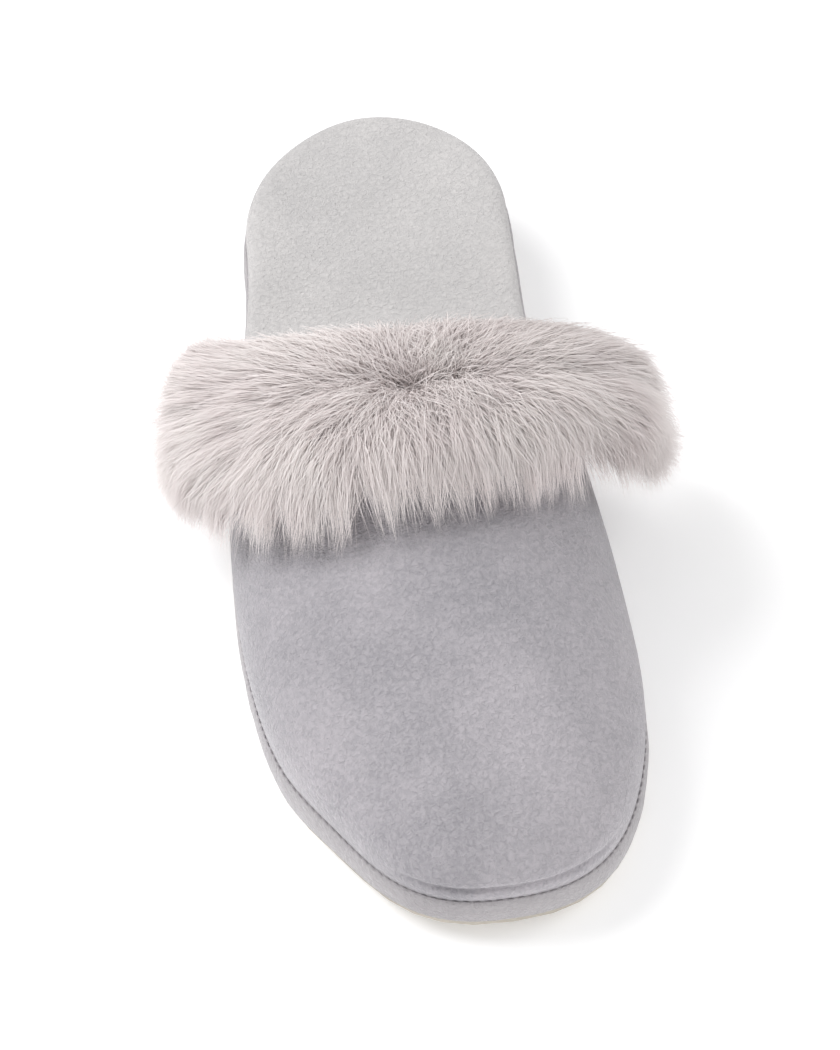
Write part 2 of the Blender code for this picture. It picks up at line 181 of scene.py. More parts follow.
def middle_x(share):
    return BALL_WIDTH * along_table(PLAN, "swing", share)


def half_width(share):
    return mix(HEEL_WIDTH, BALL_WIDTH, along_table(PLAN, "half", share)) / 2


def floor_lift(share):
    arch_middle = (HEEL_FLAT[1] + FOREFOOT_FLAT[0]) / 2
    arch = smooth(share, HEEL_FLAT[1], arch_middle) - smooth(share, arch_middle, FOREFOOT_FLAT[0])
    toe = clamp((share - FOREFOOT_FLAT[1]) / (1 - FOREFOOT_FLAT[1]), 0, 1) ** 2
    heel = clamp(1 - share / HEEL_FLAT[0], 0, 1) ** 2
    return ARCH_LIFT * arch + TOE_SPRING * toe + HEEL_SPRING * heel


def midsole_thickness(share):
    wedge = mix(MIDSOLE_AT_HEEL, MIDSOLE_AT_BALL, smooth(share, 0.18, 0.62))
    return mix(wedge, MIDSOLE_AT_TOE, smooth(share, 0.78, 1.0))


def midsole_bottom(share):
    return floor_lift(share) + OUTSOLE_THICKNESS + GAP


def seam_height(share):
    """The top of the platform, where the upper and the insole are sewn to it."""
    return midsole_bottom(share) + midsole_thickness(share)


def toe_sample(angle):
    """A point of the toe's round end, from the side (0) to the tip (a right angle)."""
    station = 1 - TOE_ROUND + TOE_ROUND * abs(math.sin(angle)) ** (2 / TOE_POWER)
    return station, max(math.cos(angle), 0.0) ** (2 / TOE_POWER)


def side_samples():
    heel = [math.pi / 2 * i / HEEL_STEPS for i in range(HEEL_STEPS)]
    toe = [math.pi / 2 * i / TOE_STEPS for i in range(TOE_STEPS + 1)]
    span = 1 - TOE_ROUND - HEEL_ROUND
    return (
        [(HEEL_ROUND * (1 - math.cos(a) ** (2 / HEEL_POWER)), math.sin(a) ** (2 / HEEL_POWER)) for a in heel]
        + [(HEEL_ROUND + span * i / SIDE_STEPS, 1.0) for i in range(SIDE_STEPS)]
        + [toe_sample(a) for a in toe]
    )


def outline_point(share, across, side):
    return Vector((middle_x(share) + side * half_width(share) * across, y_of(share), 0))


def sole_outline():
    """(point, side, outward) once round the sole from the heel's end by the outer side."""
    samples = side_samples()
    points = [(outline_point(s, a, -1), -1) for s, a in samples]
    points += [(outline_point(s, a, 1), 1) for s, a in samples[-2:0:-1]]
    found = []
    for i, (point, side) in enumerate(points):
        run = points[(i + 1) % len(points)][0] - points[i - 1][0]
        found.append((point, side, Vector((run.y, -run.x, 0)).normalized()))
    return found


OUTLINE = sole_outline()


def ring(inset, height, fill=1.0):
    """One ring of a sole piece. inset(share, side) and height(share, fill) are functions, and fill draws the
    ring in towards the middle line."""
    made = []
    for point, side, outward in OUTLINE:
        station = clamp(share_of(point.y), HEEL_ROUND, 1 - TOE_ROUND)
        middle = Vector((middle_x(station), y_of(station), 0))
        place = mix(middle, point - outward * inset(share_of(point.y), side), fill)
        share = share_of(place.y)
        made.append(Vector((place.x, place.y, height(share, fill))))
    return made


def plain(value):
    return lambda share, side: value


def upper_point(side, share, across, rise, off=0.0):
    """A point off the upper's outer face. rise is the angle up the section, from the seam to the crest."""
    foot = outline_point(share, across, side)
    crest_share = min(share, 1 - TOE_ROUND)
    ridge = BALL_WIDTH * along_table(CREST, "ridge", crest_share)
    crest = Vector((middle_x(crest_share) + ridge, y_of(crest_share), 0))
    reach = foot - crest
    out = reach.normalized()
    level = max(math.cos(rise), 0.0) ** (2 / UPPER_ROUNDNESS)
    up = math.sin(rise) ** (2 / UPPER_ROUNDNESS)
    fullness = mix(sum(UPPER_BULGE.values()) / 2, UPPER_BULGE[side], across)
    bulge = fullness * math.sin(math.pi * min(1.0, rise / BULGE_TOP))
    place = crest + reach * level + out * (bulge - UPPER_INSET * level + off * math.cos(rise))
    here = share_of(place.y)
    height = INSTEP_HEIGHT * along_table(CREST, "height", here)
    return Vector((place.x, place.y, seam_height(here) + GAP + height * up + off * math.sin(rise)))


def throat_share(side, rise):
    return mix(THROAT_END[side], THROAT_CREST, math.sin(rise) ** THROAT_CURVE)


def edge_place(travel):
    """(side, rise, drop) on the throat's edge. travel goes from the outer end (-1) by the crest (0) to 1."""
    side = -1 if travel < 0 else 1
    hang = 0.06
    climb = 1 - abs(travel)
    rise = math.pi / 2 * clamp((climb - hang) / (1 - hang), 0.0, 1.0)
    return side, rise, FUR_OVERHANG * clamp(1 - climb / hang, 0.0, 1.0)


def face_frame(side, share, rise):
    step = 0.002
    here = upper_point(side, share, 1.0, rise)
    ahead = upper_point(side, share + step, 1.0, rise) - upper_point(side, share - step, 1.0, rise)
    low, high = max(rise - 0.02, 0.0), min(rise + 0.02, math.pi / 2)
    climb = upper_point(side, share, 1.0, high) - upper_point(side, share, 1.0, low)
    return here, climb.cross(ahead).normalized() * side


# Paints


class Value:
    """A socket in a paint. Sums and products of values add their Math nodes."""

    def __init__(self, paint, socket):
        self.paint = paint
        self.socket = socket

    def maths(self, operation, *terms):
        return self.paint.add("ShaderNodeMath", {"operation": operation}, dict(enumerate(terms)))

    def __add__(self, other):
        return self.maths("ADD", self, other)

    def __radd__(self, other):
        return self.maths("ADD", other, self)

    def __sub__(self, other):
        return self.maths("SUBTRACT", self, other)

    def __rsub__(self, other):
        return self.maths("SUBTRACT", other, self)

    def __mul__(self, other):
        return self.maths("MULTIPLY", self, other)

    def __rmul__(self, other):
        return self.maths("MULTIPLY", other, self)


class Paint:
    """A material in the making."""

    def __init__(self, name):
        self.material = bpy.data.materials.new(name)
        self.material.use_nodes = True
        self.tree = self.material.node_tree
        self.shader = self.tree.nodes["Principled BSDF"]

    def join(self, value, socket):
        if isinstance(value, Value):
            self.tree.links.new(value.socket, socket)
        else:
            socket.default_value = value

    def add(self, kind, settings=None, sockets=None, output=0):
        """A node, its settings and then its sockets' values or links. Gives back one of its outputs."""
        node = self.tree.nodes.new(kind)
        for name, value in (settings or {}).items():
            setattr(node, name, value)
        for name, value in (sockets or {}).items():
            self.join(value, node.inputs[name])
        return Value(self, node.outputs[output])

    def set(self, **sockets):
        """Values or links of the shader's own sockets, with spaces for underscores."""
        for name, value in sockets.items():
            self.join(value, self.shader.inputs[name.replace("_", " ")])

    def place(self):
        return self.add("ShaderNodeTexCoord", output="Object")

    def noise(self, scale, detail=2.0, roughness=0.5):
        sockets = {"Scale": scale, "Detail": detail, "Roughness": roughness, "Vector": self.place()}
        return self.add("ShaderNodeTexNoise", {}, sockets, "Fac")

    def mix(self, share, first, second):
        return self.add("ShaderNodeMix", {"data_type": "RGBA"}, {0: share, 6: first, 7: second}, 2)

    def spread(self, value, low, high):
        """0 at low, 1 at high and clamped beyond."""
        sockets = {"Value": value, "From Min": low, "From Max": high}
        return self.add("ShaderNodeMapRange", {"interpolation_type": "SMOOTHSTEP"}, sockets)

    def bump(self, height, distance, strength=1.0, normal=None):
        sockets = {"Height": height, "Distance": distance, "Strength": strength}
        if normal:
            sockets["Normal"] = normal
        return self.add("ShaderNodeBump", {}, sockets)


def colour(red, green, blue):
    """A screen colour, from 0 to 255 each, as the linear one that a shader takes."""
    parts = [value / 255 for value in (red, green, blue)]
    return (*(c / 12.92 if c <= 0.04045 else ((c + 0.055) / 1.055) ** 2.4 for c in parts), 1.0)


# Scales of the velour's noises, in features to the metre
NAP_SHEEN_PATCHES = 19
NAP_CURLS = 880.0
NAP_GRAIN = 1700
# How much of the velour's shade comes from its patches of painted sheen and from its curls, and how pale it
# is without them
SHEEN_PATCH_SHARE = 0.42
CURL_SHARE = 0.42
SHADE_BASE = 0.05


def velour_paint(name, pale, deep):
    """Short nap: patches of painted sheen, lighter or darker where it lies one way or the other, and a fine
    curly grain.
    """
    paint = Paint(name)
    # Painted sheen: big soft patches of the base colour, lighter or darker where the brushed nap would catch
    # the light
    sheen_patches = paint.spread(paint.noise(NAP_SHEEN_PATCHES, 4.0, 0.6), 0.34, 0.66)
    curls = {"Scale": NAP_CURLS, "Detail": 3.0, "Roughness": 0.6, "Distortion": 0.7, "Vector": paint.place()}
    nap = paint.add("ShaderNodeTexNoise", {}, curls, "Fac")
    shade = sheen_patches * SHEEN_PATCH_SHARE + paint.spread(nap, 0.3, 0.7) * CURL_SHARE + SHADE_BASE
    paint.set(Base_Color=paint.mix(shade, deep, pale))
    fine = paint.bump(paint.noise(NAP_GRAIN, 2.0, 0.65), 0.0003, 0.8)
    paint.set(Normal=paint.bump(nap, 0.0007, 0.8, fine))
    paint.set(Roughness=0.92, Specular_IOR_Level=0.12)
    paint.set(Sheen_Weight=0.7, Sheen_Roughness=0.35, Sheen_Tint=(1.0, 0.99, 1.0, 1.0))
    return paint.material


def outsole_paint():
    """Cream rubber sheet with a fine pebbled face."""
    paint = Paint("cream_sheet")
    pebbles = paint.add("ShaderNodeTexVoronoi", {}, {"Scale": 620.0, "Vector": paint.place()}, "Distance")
    tone = paint.spread(paint.noise(60, 3.0), 0.3, 0.7)
    paint.set(Base_Color=paint.mix(tone, colour(182, 175, 164), colour(200, 193, 182)))
    paint.set(Roughness=0.8, Normal=paint.bump(pebbles, 0.0006, 0.6))
    return paint.material


def thread_paint():
    paint = Paint("seam_thread")
    paint.set(Base_Color=colour(160, 156, 159), Roughness=0.8)
    twist = paint.noise(1800, 1.0)
    paint.set(Normal=paint.bump(twist, 0.0002, 0.6))
    return paint.material


def pile_paint():
    """Hair from a greyer root to a pale tip, and each strand its own tone."""
    paint = Paint("pile")
    both = paint.add("ShaderNodeUVMap", {"uv_map": "pile"}, {}, "UV")
    strand = paint.add("ShaderNodeSeparateXYZ", {}, {"Vector": both}, "X")
    along = paint.add("ShaderNodeSeparateXYZ", {}, {"Vector": both}, "Y")
    root, tip = colour(226, 218, 215), colour(238, 233, 231)
    length = paint.mix(paint.spread(along, 0.1, 0.85), root, tip)
    tone = paint.mix(strand * 0.5, length, colour(226, 215, 214))
    patch = paint.spread(paint.noise(45, 3.0), 0.35, 0.7)
    paint.set(Base_Color=paint.mix(patch * 0.35, tone, colour(226, 214, 214)))
    paint.set(Roughness=0.8, Specular_IOR_Level=0.15, Sheen_Weight=0.1)
    return paint.material


# Making meshes


def piece(name, mesh, material):
    obj = bpy.data.objects.new(name, mesh)
    bpy.context.scene.collection.objects.link(obj)
    mesh.materials.append(material)
    return obj


def skin(name, rows, closed_rows, material):
    """An object over rows of points. Points in one place are merged."""
    mesh = bpy.data.meshes.new(name)
    shape = bmesh.new()
    grid = [[shape.verts.new(p) for p in row] for row in rows]
    for low, high in zip(grid, grid[1:]):
        count = len(low)
        for i in range(count if closed_rows else count - 1):
            j = (i + 1) % count
            shape.faces.new((low[i], low[j], high[j], high[i]))
    bmesh.ops.remove_doubles(shape, verts=shape.verts, dist=1e-6)
    bmesh.ops.dissolve_degenerate(shape, edges=shape.edges, dist=1e-6)
    bmesh.ops.recalc_face_normals(shape, faces=shape.faces)
    shape.to_mesh(mesh)
    shape.free()
    mesh.shade_smooth()
    return piece(name, mesh, material)


def soft(point, scale, seed=0.0):
    """Slow unevenness of hand-sewn cloth, about -1 to 1."""
    return noise.noise(Vector((point.x + seed, point.y - seed, point.z)) * scale)


# The sole


# Rings between an edge and the middle line, as shares of the half width
SOLE_FILL = (0.93, 0.82, 0.68, 0.52, 0.36, 0.2)
# The band's side from its lower seam to its upper one: the height as a share of its own, and how far in it
# lies, as a share of BAND_ROUND or, below 0, of BAND_BULGE
BAND_LEVELS = ((0.0, 0.10), (0.10, 0.0), (0.30, -0.75), (0.55, -1.0), (0.78, -0.7), (0.95, 0.0), (1.0, 0.22))
BAND_PUCKER = 0.00022
INSOLE_EDGE_STEPS = 14
INSOLE_WAVE = 0.00035
HEEL_CUP = 0.0008


def make_band(material):
    """The platform's wrap, bulging between its seams, with soft puckers."""

    def band_ring(up, inward):
        made = []
        for point, side, outward in OUTLINE:
            share = share_of(point.y)
            pucker = BAND_PUCKER * soft(point, 160, 3.0) * math.sin(math.pi * clamp(up, 0, 1))
            inset = inward * (BAND_BULGE if inward < 0 else BAND_ROUND) - pucker
            place = point - outward * inset
            height = midsole_bottom(share) + midsole_thickness(share) * up
            made.append(Vector((place.x, place.y, height)))
        return made

    rows = [ring(plain(BAND_ROUND), lambda s, f: midsole_bottom(s), k) for k in (0.0, *SOLE_FILL[::-1])]
    rows += [band_ring(up, inward) for up, inward in BAND_LEVELS]
    rows += [ring(plain(BAND_ROUND), lambda s, f: seam_height(s), k) for k in (*SOLE_FILL, 0.0)]
    return skin("velour_band", rows, True, material)


def insole_inset(extra):
    def inset(share, side):
        end = THROAT_END[side] - 0.012
        inside = smooth(share, end - INSOLE_STEP, end)
        return mix(INSOLE_INSET, UPPER_INSET + UPPER_WALL + 2 * GAP, inside) + extra

    return inset


def make_insole(material):
    """The padded footbed: a pillow edge, a dished top and the slow waves of soft foam."""

    def dished(share, fill):
        flat = seam_height(share) + GAP + INSOLE_THICKNESS - INSOLE_DISH * (1 - fill**2)
        heel_cup = -HEEL_CUP * bell(share, 0.16, 0.09) * (1 - fill**2)
        return flat + heel_cup

    def underside(share, fill):
        return seam_height(share) + GAP

    edge = [math.pi * i / INSOLE_EDGE_STEPS for i in range(INSOLE_EDGE_STEPS + 1)]
    rows = [ring(insole_inset(INSOLE_ROUND), underside, k) for k in (0.0, *SOLE_FILL[::-1])]
    for turn in edge:
        inward = INSOLE_ROUND * 0.82 * (1 - math.sin(turn) ** 0.8)
        up = (1 - math.cos(turn)) / 2
        rows.append(ring(insole_inset(inward), lambda s, f: seam_height(s) + GAP + INSOLE_THICKNESS * up))
    rows += [ring(insole_inset(INSOLE_ROUND), dished, k) for k in (*SOLE_FILL, 0.0)]
    pad = skin("padded_insole", rows, True, material)
    for vertex in pad.data.vertices:
        height = vertex.co.z - seam_height(share_of(vertex.co.y)) - GAP
        vertex.co.z += INSOLE_WAVE * soft(vertex.co, 45, 7.0) * smooth(height, 0.002, 0.005)
    return pad


# The upper


# Folds along the seam, in metres: the height of each one's middle, its half width, and how far it stands out
TUCK = dict(height=0.0, width=0.0009, out=-0.0002)
ROLL = dict(height=0.0023, width=0.0013, out=0.0004)
TROUGH = dict(height=0.0047, width=0.0007, out=-0.0010)
BROW = dict(height=0.0070, width=0.0019, out=0.0004)
TOE_FOLDS = (0.945, 0.992)  # where the folds of the toe begin, and where they are full
UPPER_WAVE = 0.0004


def fold(form, height, shift=0.0):
    return form["out"] * bell(height, form["height"] + shift, form["width"])


def crease(side, share, across, rise):
    """How far the cloth stands off the upper's smooth face: folds and a sewn-in roll."""
    height = math.sin(rise) ** (2 / UPPER_ROUNDNESS) * INSTEP_HEIGHT * 0.6
    toe = smooth(share, *TOE_FOLDS)
    point = upper_point(side, share, across, rise)
    pucker = 1 + 0.5 * soft(point, 210, 9.0)
    roll = fold(ROLL, height) * (0.2 + 0.8 * toe)
    wander = 0.0005 * soft(point, 95, 4.0)
    trough = fold(TROUGH, height, wander) * toe * pucker
    brow = fold(BROW, height) * toe
    return fold(TUCK, height) + roll + trough + brow


def upper_row(rise):
    start = 1 - TOE_ROUND
    sides = {}
    for side in (-1, 1):
        throat = throat_share(side, rise)
        stations = [mix(throat, start, i / VAMP_STEPS) for i in range(VAMP_STEPS)]
        sides[side] = [(side, s, 1.0) for s in stations]
    turn = [math.pi / 2 * i / TOE_STEPS for i in range(TOE_STEPS + 1)]
    toe_out = [(-1, *toe_sample(a)) for a in turn]
    toe_in = [(1, *toe_sample(a)) for a in turn[-2::-1]]
    row = []
    for side, share, across in sides[-1] + toe_out + toe_in + sides[1][::-1]:
        point = upper_point(side, share, across, rise)
        off = crease(side, share, across, rise)
        off += UPPER_WAVE * soft(point, 38, 1.0) * smooth(rise, 0.15, 0.5)
        place = upper_point(side, share, across, rise, off)
        row.append(place - Vector((0, 0, SEAM_TUCK * bell(rise, 0, 0.03))))
    return row


def make_upper(material):
    rises = [math.pi / 2 * (i / VAMP_ROWS) ** 1.25 for i in range(VAMP_ROWS + 1)]
    upper = skin("velour_upper", [upper_row(r) for r in rises], False, material)
    wall = upper.modifiers.new("wall", "SOLIDIFY")
    wall.thickness = UPPER_WALL
    wall.offset = -1
    wall.use_even_offset = True
    return upper


STITCH_PITCH = 0.0026
STITCH_LONG = 0.0015
STITCH_RADIUS = 0.00022
STITCH_SIDES = 6
STITCH_LIFT = 0.0001  # of its middle, off the seam
STITCH_START = 0.03  # share of the length from the throat's end to the first stitch
# One stitch from end to end: its radius at places along it
STITCH = ((-0.5, 0.35), (-0.35, 0.9), (0.0, 1.0), (0.35, 0.9), (0.5, 0.35))


def make_stitches(material):
    """The stitches in the seam round the vamp, each a short rounded thread lying in the groove."""
    path = []
    for point, side, outward in OUTLINE:
        share = share_of(point.y)
        if share > THROAT_END[side] + STITCH_START:
            path.append((Vector((point.x, point.y, seam_height(share) + STITCH_LIFT)), outward))
    shape = bmesh.new()
    travelled = 0.0
    due = STITCH_PITCH
    for (here, out), (there, _) in zip(path, path[1:]):
        step = there - here
        while travelled + step.length >= due:
            centre = here + step * ((due - travelled) / step.length)
            due += STITCH_PITCH
            run = step.normalized()
            up = run.cross(out)
            rings = []
            for along, thick in STITCH:
                middle = centre + run * STITCH_LONG * along
                turns = [2 * math.pi * k / STITCH_SIDES for k in range(STITCH_SIDES)]
                spokes = [(out * math.cos(a) + up * math.sin(a)) * STITCH_RADIUS * thick for a in turns]
                rings.append([shape.verts.new(middle + spoke) for spoke in spokes])
            for low, high in zip(rings, rings[1:]):
                for k in range(STITCH_SIDES):
                    after = (k + 1) % STITCH_SIDES
                    shape.faces.new((low[k], low[after], high[after], high[k]))
            shape.faces.new(rings[0][::-1])
            shape.faces.new(rings[-1])
        travelled += step.length
    bmesh.ops.recalc_face_normals(shape, faces=shape.faces)
    mesh = bpy.data.meshes.new("seam_stitches")
    shape.to_mesh(mesh)
    shape.free()
    mesh.shade_smooth()
    return piece("seam_stitches", mesh, material)


# The fur

PILE_TRAVELS = 121
PILE_SPAN = 1.5  # of the reach, on both sides of the parting
PILE_ACROSS = 61
EDGE_HALF_LENGTH = 0.065  # along the throat's edge, from the crest to either end
LOCKS = 3900
STRANDS_IN_LOCK = 30
TUFTS = 620
TUFT_PULL = 0.24  # of the way from a lock's tip to the middle of its tuft
TUFT_LEAN = 0.024
TUFT_TONE = 0.45  # how much of a strand's own tone is its tuft's
FRONT_SHARE = 0.54  # of the locks that fall forward
FARTHEST_TIP = 1.05
ROOT_ACROSS = 0.32  # of the way out to the tip, where the root is
PILE_BODY = (-0.06, 0.74)  # the middle and half length, in travel, of the dense body under the strands
BODY_ROWS = 90
BODY_FRONT = -0.56  # across, where the body ends
BODY_BACK = 0.45
BODY_HEIGHT = 0.55  # of the strands' height
INNER_SHARE = 0.36  # of the locks behind the parting, those that line the pile's inner face
INNER_LEVEL = (-0.30, 0.55)
SHORTEST_STRAND = (0.72, 0.60)  # of its lock's reach, in front of and behind the parting
LONGEST_STRAND = (1.10, 1.18)
LOOSE_SHARE = 0.12  # of the strands, those that stray from their lock
SLOW_BEND = 0.0010
QUICK_BEND = 0.0006
STRAND_POINTS = 5
STRAND_TAPER = (0.8, 1.0, 0.95, 0.7, 0.0)
STRAND_WIDTH = 0.00016
LOCK_TIP = (0.32, 0.66)  # the share of a lock's spread left at its tip, in front of and behind the parting
WHORL_TRAVEL = -0.07  # where the parting is deepest, and where the pile radiates from
WHORL_SIZE = (0.035, 0.12)  # in travel and across
WHORL_DEPTH = 0.30
RADIATION = 0.50  # how much nearer the whorl than its tip a lock's root is
PILE_CORNER = 2.6  # the squareness of the pile's outline at its ends
END_RAGGEDNESS = 0.15  # how far in from the trim's ends the strands stop, at most
END_FLARE = 1.2
PILE_HEM = 0.0065  # the least height of the strands off the floor
PILE_HEM_SPREAD = 0.005
PILE_PIECES = 6
# The height of the pile's outer face at a share of the way out from the parting, as a share of its depth
PILE_FACE = ((0.0, 1.0), (0.40, 1.0), (0.65, 0.86), (0.85, 0.6), (1.0, 0.3), (1.2, 0.1), (1.5, 0.0))
PARTING = dict(middle=-0.05, half_length=0.34, half_width=0.09, depth=0.07)


def pile_size(travel):
    share = clamp((1 - abs(travel)) / FUR_END_SPAN, 0.0, 1.0)
    return 0.35 + 0.65 * math.sqrt(1 - (1 - share) ** 2)


def pile_ground():
    """Grids over the trim, travel by across: the face under the pile, its normal, and the pile's least and
    full height."""
    travels = np.linspace(-1, 1, PILE_TRAVELS)
    acrosses = np.linspace(-PILE_SPAN, PILE_SPAN, PILE_ACROSS)
    shape = (PILE_TRAVELS, PILE_ACROSS)
    feet, normals = np.zeros((*shape, 3)), np.zeros((*shape, 3))
    least, depth = np.zeros(shape), np.zeros(shape)
    side_room = UPPER_INSET + BAND_BULGE + SIDE_CLEARANCE
    for i, travel in enumerate(travels):
        side, rise, drop = edge_place(travel)
        size = 0.6 + 0.4 * pile_size(travel)
        edge_share = throat_share(side, rise)
        edge, edge_normal = face_frame(side, edge_share, rise)
        inside = smooth(rise, *WRAP_RISE)
        back = Vector((0, 1, 0))
        back = (back - edge_normal * back.dot(edge_normal)).normalized()
        for j, across in enumerate(acrosses):
            column = "front" if across < 0 else "back"
            reach = FUR_REACH * along_table(PILE, column, travel) * size * across
            depth[i, j] = FUR_DEPTH * along_table(PILE, "depth", travel) * size
            if across < 0:
                foot, normal = face_frame(side, edge_share - reach / LENGTH, rise)
                least[i, j] = SEAT_GAP + side_room * (1 - smooth(rise, 0, WRAP_RISE[0]))
            else:
                sag = Vector((0, 0, -0.35 * FUR_REACH)) * (across * size) ** 2 * inside
                foot, normal = edge + sag + back * reach, edge_normal
                low = UPPER_INSET + BAND_BULGE + 3 * GAP + SIDE_CLEARANCE * across
                least[i, j] = mix(low, -FUR_DEPTH * 0.3 * min(1.0, across * 4), inside)
            feet[i, j] = foot - Vector((0, 0, drop))
            normals[i, j] = normal
    return feet, normals, least, depth


def look_up(grid, travel, across):
    """Values between the grid's own, for arrays of travel and across."""
    i = np.clip((travel + 1) / 2 * (PILE_TRAVELS - 1), 0, PILE_TRAVELS - 1.001)
    j = np.clip((across / PILE_SPAN + 1) / 2 * (PILE_ACROSS - 1), 0, PILE_ACROSS - 1.001)
    i0, j0 = i.astype(int), j.astype(int)
    u, v = i - i0, j - j0
    if grid.ndim == 3:
        u, v = u[..., None], v[..., None]
    return (
        grid[i0, j0] * (1 - u) * (1 - v)
        + grid[i0 + 1, j0] * u * (1 - v)
        + grid[i0, j0 + 1] * (1 - u) * v
        + grid[i0 + 1, j0 + 1] * u * v
    )


def pile_places(ground, travel, across, off):
    """Places in space for arrays of travel, across and off."""
    feet, normals, least, depth = ground
    height = np.maximum(off * look_up(depth, travel, across), look_up(least, travel, across))
    return look_up(feet, travel, across) + look_up(normals, travel, across) * height[..., None]


def in_tufts(travel, across, draw):
    """Each lock's tuft and the middle of that tuft, for arrays of travel and across (below 0 in front)."""
    chosen = draw.integers(0, len(travel), TUFTS)
    lengthwise = (travel[:, None] - travel[chosen]) * EDGE_HALF_LENGTH
    crosswise = (across[:, None] - across[chosen]) * FUR_REACH
    tuft = np.hypot(lengthwise, crosswise).argmin(axis=1)
    return tuft, travel[chosen][tuft], across[chosen][tuft]


def draw_locks(draw):
    """The locks, each in its tuft, from roots near the parting to tips all over the pile's outer face. Gives
    columns with a value for each lock. across is counted away from the parting, and toward is -1 in front."""
    toward = np.where(draw.random(LOCKS) < FRONT_SHARE, -1.0, 1.0)
    tip_travel = draw.uniform(-1.0, 1.0, LOCKS)
    rounded = (1 - np.abs(tip_travel) ** PILE_CORNER) ** (1 / PILE_CORNER)
    tip_across = draw.uniform(0.0, 1.0, LOCKS) ** 0.75 * FARTHEST_TIP * rounded
    tuft, tuft_travel, tuft_across = in_tufts(tip_travel, toward * tip_across, draw)
    pull = TUFT_PULL * np.clip(tip_across / 0.4, 0, 1)
    lean = draw.normal(0, TUFT_LEAN, TUFTS)[tuft]
    root_travel = WHORL_TRAVEL + (tip_travel - WHORL_TRAVEL) * (1 - RADIATION) + draw.normal(0, 0.03, LOCKS)
    root_across = tip_across * ROOT_ACROSS + 0.02 * draw.standard_normal(LOCKS)
    tip_travel = tip_travel + pull * (tuft_travel - tip_travel) + lean
    tip_across = tip_across + pull * (toward * tuft_across - tip_across)
    level = draw.uniform(0.86, 1.05, LOCKS) * draw.uniform(0.90, 1.08, TUFTS)[tuft]
    level = np.where(toward < 0, level, 0.5 + 0.5 * level)
    inner = (toward > 0) & (draw.random(LOCKS) < INNER_SHARE)
    level = np.where(inner, draw.uniform(*INNER_LEVEL, LOCKS), level)
    return dict(
        toward=toward,
        root_travel=root_travel,
        root_across=root_across,
        travel_run=tip_travel - root_travel,
        across_run=tip_across - root_across,
        level=level,
        tidy=np.where(toward < 0, *LOCK_TIP),
        shortest=np.where(toward < 0, *SHORTEST_STRAND),
        longest=np.where(toward < 0, *LONGEST_STRAND),
        tone=TUFT_TONE * draw.random(TUFTS)[tuft],
    )


def strand_heights(travel, across, height, s, draw):
    """How far the strands stand off the face under the pile, and where each one stops at the trim's ends.
    They rise out of the face and lie over, but point straight out at the two ends."""
    count = len(travel)
    ends = np.clip((np.abs(travel[:, -1:]) - 0.40) / 0.55, 0, 1)
    rise = (1 - (1 - np.minimum(s / 0.6, 1)) ** 2.0) * (1 - ends) + 1.06 * s**1.15 * ends
    limit = 1 - END_RAGGEDNESS * draw.random((count, 1))
    beyond = np.maximum(np.abs(travel) - limit, 0)
    flare = END_FLARE * beyond * draw.uniform(0.6, 1.25, (count, 1))
    off = np.interp(across, *zip(*PILE_FACE)) * height * rise + flare
    round_end = 0.34 - 1.0 * np.minimum(across, 1) ** 2
    off = off * (1 + ends**2 * round_end * draw.uniform(0.5, 1.2, (count, 1)))
    whorl = np.exp(-(((travel - WHORL_TRAVEL) / WHORL_SIZE[0]) ** 2) - (across / WHORL_SIZE[1]) ** 2)
    along_parting = ((travel - PARTING["middle"]) / PARTING["half_length"]) ** 4
    parting = np.exp(-along_parting - (across / PARTING["half_width"]) ** 2)
    return off * (1 - WHORL_DEPTH * whorl - PARTING["depth"] * parting), limit


def draw_strands(ground, draw):
    """Strands in locks. Gives arrays of strands by points: their places and the face's normals there, and
    each strand's own tone."""
    count = LOCKS * STRANDS_IN_LOCK
    s = np.linspace(0, 1, STRAND_POINTS)[None, :]
    locks = draw_locks(draw)
    lock = np.repeat(np.arange(LOCKS), STRANDS_IN_LOCK)
    own = {name: column[lock][:, None] for name, column in locks.items()}
    spread = draw.normal(0, 1, (count, 2))
    gather = 1 - (1 - own["tidy"]) * s**0.7
    travel = own["root_travel"] + own["travel_run"] * s**1.15
    travel = travel + 0.018 * spread[:, :1] * gather
    across = own["root_across"] + own["across_run"] * s**1.35
    loose = draw.random((count, 1)) < LOOSE_SHARE
    across = across * (own["shortest"] + (own["longest"] - own["shortest"]) * draw.random((count, 1)))
    across = across + 0.045 * spread[:, 1:] * gather
    travel = travel + np.where(loose, 0.035, 0.006) * draw.standard_normal((count, 1)) * s
    height = own["level"] * draw.uniform(0.76, 1.03, (count, 1)) * np.where(loose, 1.10, 1.0)
    across = np.maximum(across, -0.05)
    off, limit = strand_heights(travel, across, height, s, draw)
    across = own["toward"] * across
    travel = np.clip(travel, -limit, limit)
    places = pile_places(ground, travel, across, off)
    bend = draw.normal(0, 1, (count, 1, 3)) * SLOW_BEND * np.sin(s * 2.8)[..., None]
    bend += draw.normal(0, 1, (count, 1, 3)) * QUICK_BEND * np.sin(s * 6.3)[..., None] * s[..., None]
    places = places + bend
    low = PILE_HEM + PILE_HEM_SPREAD * draw.random((count, 1))
    places[..., 2] = np.maximum(places[..., 2], low)
    tone = own["tone"][:, 0] + (1 - TUFT_TONE) * draw.random(count)
    return places, look_up(ground[1], travel, across), tone


